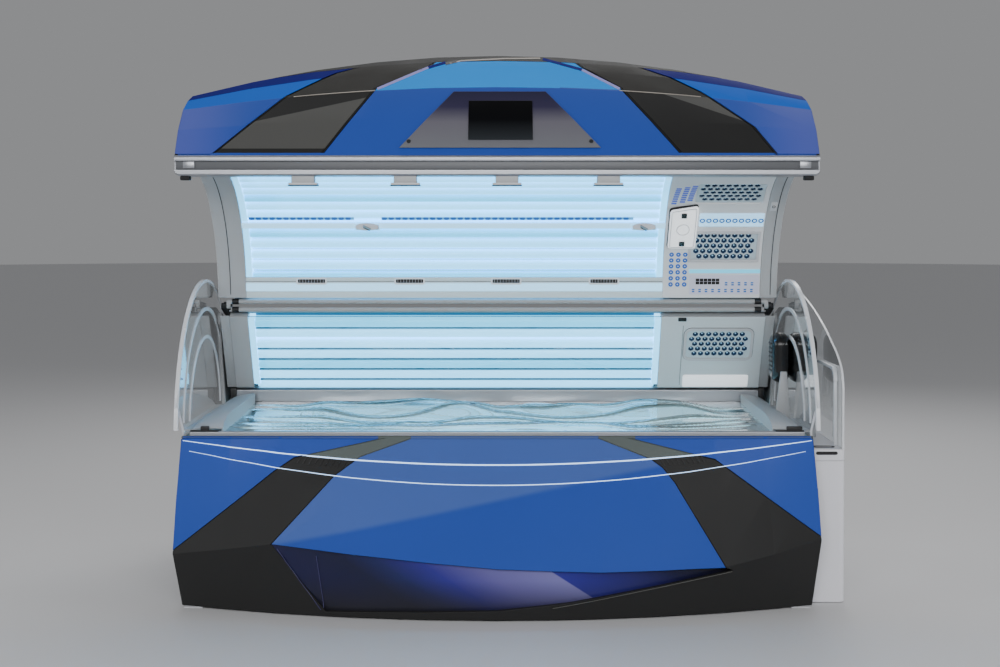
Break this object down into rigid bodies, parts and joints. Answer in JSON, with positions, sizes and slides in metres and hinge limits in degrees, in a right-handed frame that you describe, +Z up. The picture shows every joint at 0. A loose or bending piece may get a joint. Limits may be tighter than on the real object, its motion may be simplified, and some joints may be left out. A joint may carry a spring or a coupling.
{
  "type": "tanning bed",
  "caption": "Clamshell tanning bed: a hinged lamp canopy with faceted panels over a clear contoured bench, with a rear lamp panel, clear end arches and a head-end control unit.",
  "frame": {"origin": "middle of the footprint, on the floor", "axes": "+X along the bed towards the head end, +Y from the open front to the back, +Z up; the canopy is stored open"},
  "size_m": [2.5172, 1.4099, 2.102],
  "materials": {
    "frame_steel": "satin powder coat",
    "foot_rubber": "matte",
    "charcoal": "satin moulded",
    "blue_panel": "satin lacquer",
    "plinth_gloss": "high gloss",
    "rail_aluminium": "satin anodised",
    "clear_sheet": "clear acrylic",
    "reflector": "bright rolled",
    "lamp_glass": "lit phosphor tube",
    "pale_moulding": "satin moulded",
    "white_case": "satin lacquer",
    "grille_blue": "satin moulded",
    "black_plastic": "matte",
    "display_silver": "metallic lacquer",
    "screen_glass": "glass-like"
  },
  "bodies": {
    "base": {"base_frame": "frame_steel", "foot_front_left": "foot_rubber", "foot_front_right": "foot_rubber", "foot_rear_left": "foot_rubber", "foot_rear_right": "foot_rubber", "front_moulding": "charcoal", "front_centre_panel": "blue_panel", "front_left_panel": "blue_panel", "front_right_panel": "blue_panel", "plinth_panel": "plinth_gloss", "front_rail": "rail_aluminium", "bench_acrylic": "clear_sheet", "bench_reflector": "reflector", "bench_lamps": "lamp_glass", "end_moulding_left": "pale_moulding", "end_moulding_right": "pale_moulding", "rear_rail": "rail_aluminium", "rear_panel": "pale_moulding", "honeycomb_rear": "grille_blue", "rear_acrylic": "clear_sheet", "rear_lamps": "lamp_glass", "rear_cover": "charcoal", "ballast_box": "frame_steel", "base_end_panel_left": "pale_moulding", "base_end_panel_right": "pale_moulding", "arch_pane_left": "clear_sheet", "arch_pane_right": "clear_sheet", "air_pod": "black_plastic", "side_box": "white_case", "outer_pane": "clear_sheet", "base_hinge_rail": "rail_aluminium", "hinge_bracket_left": "frame_steel", "hinge_bracket_right": "frame_steel"},
    "canopy": {"canopy_tray": "reflector", "canopy_hinge_rail": "rail_aluminium", "canopy_lamps": "lamp_glass", "centre_bar": "pale_moulding", "canopy_acrylic_upper": "clear_sheet", "canopy_acrylic_lower": "clear_sheet", "vent_strip": "pale_moulding", "canopy_cheek_left": "pale_moulding", "canopy_cheek_right": "pale_moulding", "head_unit": "pale_moulding", "honeycomb_upper": "grille_blue", "honeycomb_lower": "grille_blue", "touch_panel": "white_case", "canopy_shell": "charcoal", "canopy_centre_panel": "blue_panel", "canopy_insert_left": "charcoal", "canopy_insert_right": "charcoal", "canopy_wing_left": "blue_panel", "canopy_wing_right": "blue_panel", "display_plate": "display_silver", "display_screen": "screen_glass", "canopy_front_rail": "rail_aluminium"},
    "fan": {"fan_rotor": "black_plastic"},
    "air_nozzle_left": {"nozzle_left": "rail_aluminium"},
    "air_nozzle_right": {"nozzle_right": "rail_aluminium"},
    "upper_key": {"key_upper": "black_plastic"},
    "lower_key": {"key_lower": "black_plastic"}
  },
  "joints": [
    {"name": "canopy_hinge", "type": "hinge", "parent": "base", "child": "canopy", "pos_m": [0, 0.17, 1.088], "axis": [1, 0, 0], "range_deg": [0, 60]},
    {"name": "fan_spin", "type": "hinge", "parent": "base", "child": "fan", "pos_m": [-0.05365, 0.65, 0.33], "axis": [0, 1, 0], "continuous": true},
    {"name": "nozzle_left_tilt", "type": "hinge", "parent": "canopy", "child": "air_nozzle_left", "pos_m": [-0.57765, 0.03557, 1.4152], "axis": [1, 0, 0], "range_deg": [-25, 25]},
    {"name": "nozzle_right_tilt", "type": "hinge", "parent": "canopy", "child": "air_nozzle_right", "pos_m": [0.53935, 0.03557, 1.4152], "axis": [1, 0, 0], "range_deg": [-25, 25]},
    {"name": "upper_key_press", "type": "slide", "parent": "canopy", "child": "upper_key", "axis": [0, 0.7986, 0.6018], "range_m": [0, 0.0015], "stiffness_N_per_m": 900},
    {"name": "lower_key_press", "type": "slide", "parent": "canopy", "child": "lower_key", "axis": [0, 0.7986, 0.6018], "range_m": [0, 0.0015], "stiffness_N_per_m": 900}
  ]
}
